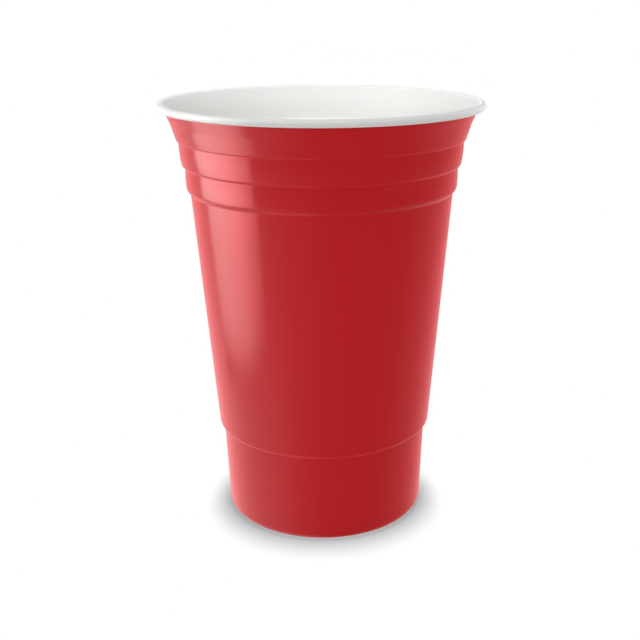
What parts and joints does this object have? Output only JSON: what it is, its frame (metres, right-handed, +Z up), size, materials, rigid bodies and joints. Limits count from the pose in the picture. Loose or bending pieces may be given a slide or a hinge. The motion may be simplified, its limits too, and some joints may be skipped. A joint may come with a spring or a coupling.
{
  "type": "plastic party cup",
  "caption": "Tall tapered drinking cup of thin moulded plastic, red outside and white inside, with a rolled white rim, stepped grip bands and a stepped foot.",
  "frame": {"origin": "centre of the foot ring, in the plane that the cup stands on", "axes": "+Z up along the cup's axis, from the foot to the rim; X and Y are level and alike, because the cup is round"},
  "size_m": [0.094, 0.094, 0.1254],
  "materials": {
    "cup_sheet": "red satin gloss outside; the same sheet is white inside and over the rolled rim"
  },
  "bodies": {
    "root": {"cup": "cup_sheet"}
  },
  "joints": []
}
